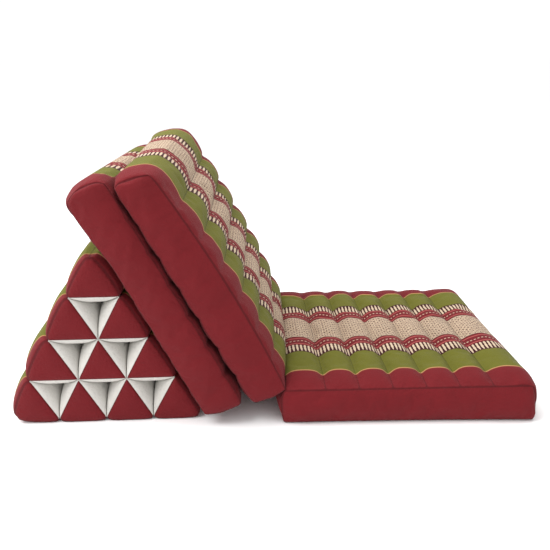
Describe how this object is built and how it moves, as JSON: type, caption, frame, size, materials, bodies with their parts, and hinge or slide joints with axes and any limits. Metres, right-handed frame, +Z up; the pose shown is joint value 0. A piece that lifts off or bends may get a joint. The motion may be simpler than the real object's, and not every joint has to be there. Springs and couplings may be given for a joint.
{
  "type": "triangle cushion with fold-out mats",
  "caption": "Stuffed cotton wedge with open triangular channels and three channelled mats folded out of it as a seat and a back rest.",
  "frame": {"origin": "middle of the whole cushion's box at the floor", "axes": "+X along the cushion from the wedge to the seat mat's free end, +Y across it, +Z up"},
  "size_m": [1.0806, 0.518, 0.5331],
  "materials": {
    "patterned_cotton": "woven cotton in red, green and cream stripes",
    "red_cotton": "plain woven cotton"
  },
  "bodies": {
    "root": {"seat_mat": "patterned_cotton", "back_mat": "patterned_cotton", "support_mat": "patterned_cotton", "wedge_tube_1_1": "red_cotton", "wedge_tube_2_1": "red_cotton", "wedge_tube_2_2": "red_cotton", "wedge_tube_3_1": "red_cotton", "wedge_tube_3_2": "red_cotton", "wedge_tube_3_3": "red_cotton", "wedge_tube_4_1": "red_cotton", "wedge_tube_4_2": "red_cotton", "wedge_tube_4_3": "red_cotton", "wedge_tube_4_4": "red_cotton"}
  },
  "joints": []
}
